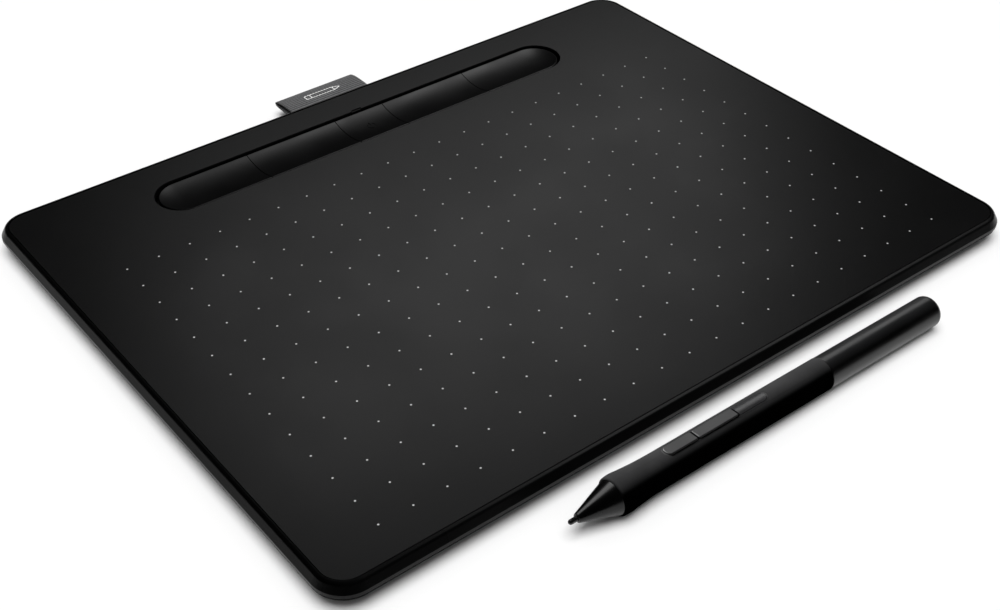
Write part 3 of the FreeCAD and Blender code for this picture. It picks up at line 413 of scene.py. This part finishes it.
def dress_nodes():
    """Give every CAD node that stays its material."""
    feet = ["foot_front_left", "foot_front_right", "foot_back_left", "foot_back_right"]
    wear_on(["top_cover"], cover_look())
    wear_on(["bottom_cover"], base_look())
    wear_on(["drawing_surface"], surface_look())
    wear_on(KEYS, key_look())
    wear_on(["key_tray"], tray_look())
    wear_on(feet, rubber_look())
    wear_on(["rating_label"], label_look())
    wear_on(["status_light_pipe"], light_pipe_look())
    wear_on(["status_led"], lamp_look())
    zinc = steel_look("screw_zinc", (0.42, 0.42, 0.43), 0.35, (600.0, 600.0, 200.0))
    wear_on(["case_screws", "board_screws", "key_switches", "pen_switches"], zinc)
    wear_on(["usb_shell"], steel_look("port_plated", (0.50, 0.50, 0.51), 0.25, (60.0, 900.0, 900.0)))
    tinned = steel_look("can_tinned", (0.52, 0.52, 0.51), 0.38, (40.0, 900.0, 40.0))
    wear_on(["radio_module", "shield_plate"], tinned)
    wear_on(["loop_bar"], steel_look("bar_plain", (0.40, 0.40, 0.40), 0.4, (50.0, 900.0, 900.0)))
    wear_on(["main_board", "sensor_board", "pen_board"], board_look())
    package = ["usb_tongue", "control_chip", "board_connector", "battery_connector", "sensor_connector"]
    wear_on(package, package_look())
    wear_on(["sensor_cable"], flex_look())
    wear_on(["battery_pack"], battery_look())
    wear_on(["battery_lead"], wire_look())
    wear_on(["pen_grip"], grip_look())
    wear_on(["pen_nose_cone"], cone_look())
    wear_on(["pen_rear_barrel"], rear_look())
    wear_on(["pen_lower_button", "pen_upper_button", "pen_switch_frame"], button_look())
    wear_on(["pen_inlay"], inlay_look())
    wear_on(["pen_nib", "spare_nibs"], nib_look())
    wear_on(["nib_plunger", "pen_carrier", "pressure_sensor"], inner_look())
    wear_on(["pen_core"], ferrite_look())
    wear_on(["pen_coil"], coil_look())


# ---------------------------------------------------------------- woven pen loop

RIB_PITCH = 1.15 * MM
RIB_HEIGHT = 0.09 * MM
RIBBON_THICK = 0.55 * MM
SELVEDGE_COLUMNS, SELVEDGE_RISE = 2, 0.06 * MM
WEAVE_DEPTH = 0.02 * MM
SPAN_STEPS = 24
STITCH_WIDTH, STITCH_PITCH, STITCH_GAP = 0.50 * MM, 1.15 * MM, 0.04
STITCH_STEPS, STITCH_SIDES = 6, 8
SIGN_BEHIND_CASE = 6.6 * MM


def smooth_path(points, steps):
    """Points spaced evenly along a closed cubic curve through the given points."""
    count = len(points)
    dense = []
    for index in range(count):
        before, start, stop, after = (Vector(points[(index + shift) % count]) for shift in (-1, 0, 1, 2))
        for step in range(SPAN_STEPS):
            part = step / SPAN_STEPS
            dense.append(0.5 * ((2 * start) + (stop - before) * part
                                + (2 * before - 5 * start + 4 * stop - after) * part ** 2
                                + (3 * start - before - 3 * stop + after) * part ** 3))
    lengths = [0.0]
    for here, there in zip(dense, dense[1:] + dense[:1]):
        lengths.append(lengths[-1] + (there - here).length)
    total = lengths[-1]
    evenly = []
    at = 0
    for step in range(steps):
        goal = total * step / steps
        while lengths[at + 1] < goal:
            at += 1
        share = (goal - lengths[at]) / (lengths[at + 1] - lengths[at])
        evenly.append(dense[at].lerp(dense[(at + 1) % len(dense)], share))
    return evenly, total


def loop_path(lean):
    """The ribbon's line in the YZ plane: round the bar inside, out of the slot, and round the fold.
    lean runs from -1 at the left end to +1 at the right end, where the fold sits a little higher."""
    y, z = CASE_BACK, BAR.z
    lift = 0.10 * lean * MM
    return [
        (BAR.y - 1.60 * MM, z), (BAR.y - 1.05 * MM, z + 1.00 * MM),
        (y - 3.50 * MM, z + 1.10 * MM), (y, z + 1.15 * MM), (y + 4.0 * MM, z + 1.25 * MM),
        (y + 8.5 * MM, z + 1.10 * MM + lift), (y + 11.5 * MM, z + 0.60 * MM + lift),
        (y + 13.2 * MM, z - 0.25 * MM + lift), (y + 12.6 * MM, z - 1.00 * MM + lift),
        (y + 9.5 * MM, z - 1.35 * MM), (y + 4.0 * MM, z - 1.40 * MM), (y, z - 1.25 * MM),
        (y - 3.50 * MM, z - 1.10 * MM), (BAR.y - 1.05 * MM, z - 1.00 * MM),
    ]


def ribbon_rows():
    """For each column across the width, the even points of its path and the path's length."""
    columns, steps = 70, 330
    width = LOOP_HIGH.x - LOOP_LOW.x
    rows = []
    for column in range(columns + 1):
        part = column / columns
        evenly, total = smooth_path(loop_path(2 * part - 1), steps)
        rows.append((LOOP_LOW.x + width * part, evenly, total))
    return rows


def ribbon_mesh():
    """A closed ribbon with raised ribs outside, a flat inside, and thickened selvedges."""
    rows = ribbon_rows()
    steps = len(rows[0][1])
    mesh = bmesh.new()
    layers = []
    for column, (x, evenly, total) in enumerate(rows):
        edge = min(column, len(rows) - 1 - column)
        selvedge = SELVEDGE_RISE if edge < SELVEDGE_COLUMNS else 0.0
        ring = []
        for step, point in enumerate(evenly):
            ahead, behind = evenly[(step + 1) % steps], evenly[step - 1]
            along = (ahead - behind).normalized()
            outward = Vector((along.y, -along.x))
            ribs = round(total / RIB_PITCH)
            wave = abs(math.sin(math.pi * ribs * step / steps))
            rise = RIBBON_THICK / 2 + RIB_HEIGHT * wave ** 0.6 - RIB_HEIGHT / 2 + selvedge
            weave = WEAVE_DEPTH * math.cos(math.pi * column) * wave
            outer = point + outward * (rise + weave)
            inner = point - outward * (RIBBON_THICK / 2)
            ring.append((mesh.verts.new((x, outer.x, outer.y)), mesh.verts.new((x, inner.x, inner.y))))
        layers.append(ring)
    for left, right in zip(layers, layers[1:]):
        for step in range(steps):
            ahead = (step + 1) % steps
            mesh.faces.new((left[step][0], right[step][0], right[ahead][0], left[ahead][0]))
            mesh.faces.new((left[ahead][1], right[ahead][1], right[step][1], left[step][1]))
    for ring, order in ((layers[0], 1), (layers[-1], -1)):
        for step in range(steps):
            ahead = (step + 1) % steps
            face = (ring[step][0], ring[ahead][0], ring[ahead][1], ring[step][1])
            mesh.faces.new(face[::order])
    bmesh.ops.recalc_face_normals(mesh, faces=mesh.faces)
    return mesh, rows


def furrow_painted_shade(look):
    """Near 0 in the furrows between ribs and 1 on them, along the tape's upper and lower faces: the mask for
    the painted shade in the furrows.
    """
    split = look.node("ShaderNodeSeparateXYZ")
    look.link(look.place, split.inputs[0])
    along = look.math("SUBTRACT", split.outputs[1], split.outputs[2])
    wave = look.math("COSINE", look.math("MULTIPLY", along, 2 * math.pi / RIB_PITCH))
    return look.spread(wave, 0.0, 1.0, -0.75, 0.35)


def fabric_look():
    """Ribbed tape woven from dark grey yarn with a few lighter threads, with painted shade in the furrows
    between the ribs.
    """
    look = Look("loop_weave", (0.085, 0.085, 0.087), 0.85, specular=0.25)
    yarn = look.stretched((1 / (0.45 * MM), 1 / (0.30 * MM), 1 / (0.30 * MM)))
    cells = look.node("ShaderNodeTexVoronoi")
    cells.inputs["Scale"].default_value = 1.0
    look.link(yarn, cells.inputs["Vector"])
    shade = look.spread(cells.outputs["Distance"], 0.0, 1.0, 0.1, 0.8)
    fleck = look.spread(look.noise(1 / (0.8 * MM), 3.0), 0.0, 1.0, 0.35, 0.7)
    ground = look.mix(shade, (0.150, 0.150, 0.153), (0.060, 0.060, 0.062))
    ground = look.mix(fleck, ground, (0.120, 0.120, 0.123))
    # Painted shade: the furrows between the ribs are coloured near black.
    look.paint(look.mix(furrow_painted_shade(look), (0.012, 0.012, 0.0125), ground))
    look.shader.inputs["Sheen Weight"].default_value = 0.25
    look.shader.inputs["Sheen Roughness"].default_value = 0.5
    look.bump(cells.outputs["Distance"], 0.7, 0.08 * MM)
    return look.grain(0.12, 0.4)


def stitch_line(points):
    """The ends of short stitches along a line of points in the sign's own X and Y."""
    stitches = []
    for start, stop in zip(points, points[1:]):
        start, stop = Vector(start), Vector(stop)
        run = stop - start
        count = max(1, round(run.length / STITCH_PITCH))
        for index in range(count):
            first = start + run * (index + STITCH_GAP) / count
            last = start + run * (index + 1 - STITCH_GAP) / count
            stitches.append((first, last))
    return stitches


def pencil_stitches():
    """The outline of a small pencil, as a neutral sign for the pen's place."""
    end, band, collar, tip, half = -7.4, -5.2, 4.6, 7.4, 1.2
    body = [(end, -half), (collar, -half), (tip, 0.0), (collar, half), (end, half), (end, -half)]
    lines = [body, [(collar, -half), (collar, half)], [(band, -half), (band, half)]]
    placed = []
    for line in lines:
        placed += stitch_line([(x * MM, y * MM) for x, y in line])
    return placed


def stitched_sign(rows):
    """Stitches of white yarn on the ribbon's upper face."""
    mesh = bmesh.new()
    centre = Vector(((LOOP_LOW.x + LOOP_HIGH.x) / 2, CASE_BACK + SIGN_BEHIND_CASE))
    upper = rows[len(rows) // 2][1]
    for start, stop in pencil_stitches():
        add_stitch(mesh, start, stop, centre, upper)
    return object_from(mesh, "pen_loop_sign", yarn_look())


def top_of(upper, y):
    """Height of the ribbon's outer face over that Y."""
    near = min((point for point in upper if point.y > BAR.z), key=lambda point: abs(point.x - y))
    return near.y + RIBBON_THICK / 2 + 0.05 * MM


def add_stitch(mesh, start, stop, centre, upper):
    """One stitch: a little arched strand, round above and sunk at both ends."""
    across = (stop - start).normalized()
    side = Vector((-across.y, across.x)) * STITCH_WIDTH / 2
    rings = []
    for step in range(STITCH_STEPS + 1):
        part = step / STITCH_STEPS
        at = start.lerp(stop, part)
        swell = math.sin(math.pi * part) ** 0.5
        ring = []
        for turn in range(STITCH_SIDES):
            angle = 2 * math.pi * turn / STITCH_SIDES
            x = centre.x + at.x + side.x * math.cos(angle) * (0.5 + 0.5 * swell)
            y = centre.y + at.y + side.y * math.cos(angle) * (0.5 + 0.5 * swell)
            lift = 0.05 * MM * math.sin(angle) + (0.09 * swell - 0.06) * MM
            ring.append(mesh.verts.new((x, y, top_of(upper, y) + lift)))
        rings.append(ring)
    for near, far in zip(rings, rings[1:]):
        for turn in range(STITCH_SIDES):
            ahead = (turn + 1) % STITCH_SIDES
            mesh.faces.new((near[turn], near[ahead], far[ahead], far[turn]))
    mesh.faces.new(rings[0][::-1])
    mesh.faces.new(rings[-1])


def yarn_look():
    look = Look("sign_yarn", (0.72, 0.72, 0.71), 0.7, specular=0.2)
    look.tone(900.0, 0.10)
    return look.bump(look.noise(1 / (0.12 * MM), 2.0), 0.4, 0.03 * MM)


def object_from(mesh, name, look):
    """A smooth-shaded object of that mesh, in that look."""
    data = bpy.data.meshes.new(name)
    mesh.to_mesh(data)
    mesh.free()
    data.materials.append(look.material)
    data.polygons.foreach_set("use_smooth", [True] * len(data.polygons))
    made = bpy.data.objects.new(name, data)
    bpy.context.scene.collection.objects.link(made)
    return made


def pen_loop():
    """The ribbon in place of its CAD solid, and the sign stitched on it."""
    mesh, rows = ribbon_mesh()
    loop = object_from(mesh, "pen_loop_ribbon", fabric_look())
    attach(loop, "tablet")
    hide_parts("pen_loop")
    sign = stitched_sign(rows)
    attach(sign, "tablet")
    return [loop, sign]


# ---------------------------------------------------------------- floor, light and camera

FLOOR_SIZE = 12.0
SOFTBOX_DISTANCE = 1.2


def floor():
    bpy.ops.mesh.primitive_plane_add(size=FLOOR_SIZE, location=(CASE.x, CASE.y, 0))
    plane = bpy.context.object
    plane.name = "floor"
    look = Look("floor_pale", (0.80, 0.80, 0.80), 0.9, specular=0.1)
    look.tone(1.5, 0.005)
    plane.data.materials.append(look.material)
    return plane


def facing(azimuth, elevation):
    """The direction towards a point of the sky; azimuth 0 is +Y and turns towards +X."""
    turn, rise = math.radians(azimuth), math.radians(elevation)
    return Vector((math.sin(turn) * math.cos(rise), math.cos(turn) * math.cos(rise), math.sin(rise)))


def only_lights(light, receivers):
    """Light linking: the lamp lights only these objects, and everything still casts its shadow."""
    group = bpy.data.collections.new(f"{light.name}_receivers")
    for item in receivers:
        group.objects.link(item)
    light.light_linking.receiver_collection = group


def panel(name, azimuth, elevation, width, height, radiance, receivers, roll=0.0):
    """A rectangular softbox that faces the tablet, turned by roll degrees in its own plane."""
    data = bpy.data.lights.new(name, "AREA")
    data.shape = "RECTANGLE"
    data.size = width
    data.size_y = height
    data.energy = radiance * math.pi * width * height
    light = bpy.data.objects.new(name, data)
    towards = facing(azimuth, elevation)
    light.location = CASE + towards * SOFTBOX_DISTANCE
    turned = Quaternion((0, 0, 1), math.radians(roll))
    light.rotation_euler = (towards.to_track_quat("Z", "Y") @ turned).to_euler()
    bpy.context.scene.collection.objects.link(light)
    only_lights(light, receivers)


def sun(name, azimuth, elevation, angle, strength, receivers):
    """Distant light of that angular width."""
    data = bpy.data.lights.new(name, "SUN")
    data.energy = strength
    data.angle = math.radians(angle)
    light = bpy.data.objects.new(name, data)
    light.rotation_euler = facing(azimuth, elevation).to_track_quat("Z", "Y").to_euler()
    bpy.context.scene.collection.objects.link(light)
    only_lights(light, receivers)


def nodes_named(*names):
    return [NODES[name] for name in names]


def studio(ground, loop):
    """Each softbox lights only the named parts, so each black part shows its own soft reflection."""
    # The floor throws no diffuse light back on the parts.
    ground.visible_diffuse = False
    handle = nodes_named("pen_grip", "pen_switch_frame", "pen_lower_button", "pen_upper_button", "pen_inlay")
    tail = nodes_named("pen_rear_barrel")
    nose = nodes_named("pen_nose_cone", "pen_nib")
    keys = nodes_named(*KEYS)
    apart = handle + tail + nose + keys
    tablet = [item for item in NODES.values() if item not in apart]
    sun("floor_key", 218, 82, 48, 2.9, [ground] + loop)
    sun("floor_sky", 0, 90, 115, 1.15, [ground] + loop)
    sun("pen_key", 0, 43, 12, 6.6, handle + tail)
    sun("dot_light", 218, 60, 10, 1.7, nodes_named("drawing_surface"))
    panel("back_softbox", 37.2, 39.0, 0.68, 0.36, 0.91, tablet, roll=22)
    panel("low_softbox", 135, 17, 1.1, 0.36, 0.45, nodes_named("drawing_surface", *KEYS))
    panel("left_softbox", 300, 27, 1.1, 0.50, 0.32, nodes_named("drawing_surface"))
    panel("right_softbox", 100, 27, 0.9, 0.50, 0.32, nodes_named("drawing_surface"))
    panel("rim_softbox", 92, 54, 1.0, 0.50, 2.6, nodes_named("top_cover"))
    panel("key_softbox", 78, 57, 0.64, 0.56, 3.7, keys)
    panel("tail_softbox", 58, 37, 0.46, 0.46, 1.7, handle + tail)
    panel("nose_softbox", 0, 59, 0.70, 0.74, 4.4, nose)
    world = bpy.data.worlds.new("studio")
    world.use_nodes = True
    world.node_tree.nodes["Background"].inputs["Color"].default_value = (1, 1, 1, 1)
    world.node_tree.nodes["Background"].inputs["Strength"].default_value = 0.004
    bpy.context.scene.world = world
    bpy.context.scene.view_settings.view_transform = "Standard"


def camera():
    """The view from the front left, well above the pen."""
    data = bpy.data.cameras.new("camera")
    data.sensor_width = 36.0
    data.lens = 52.99
    data.clip_start = 0.01
    look_at = CASE + Vector((-29.6, -35.1, 0)) * MM
    look_at.z = SURFACE_HIGH.z
    azimuth, elevation, roll = 38.61, 38.34, 0.36
    distance = 440.9 * MM
    forward = -facing(azimuth + 180, elevation)
    view = bpy.data.objects.new("camera", data)
    view.location = look_at - forward * distance
    level = forward.to_track_quat("-Z", "Y").to_matrix()
    view.rotation_euler = (level @ Matrix.Rotation(math.radians(roll), 3, "Z")).to_euler()
    bpy.context.scene.collection.objects.link(view)
    bpy.context.scene.camera = view


dress_nodes()
loop = pen_loop()
ground = floor()
studio(ground, loop)
camera()

bpy.context.view_layer.update()
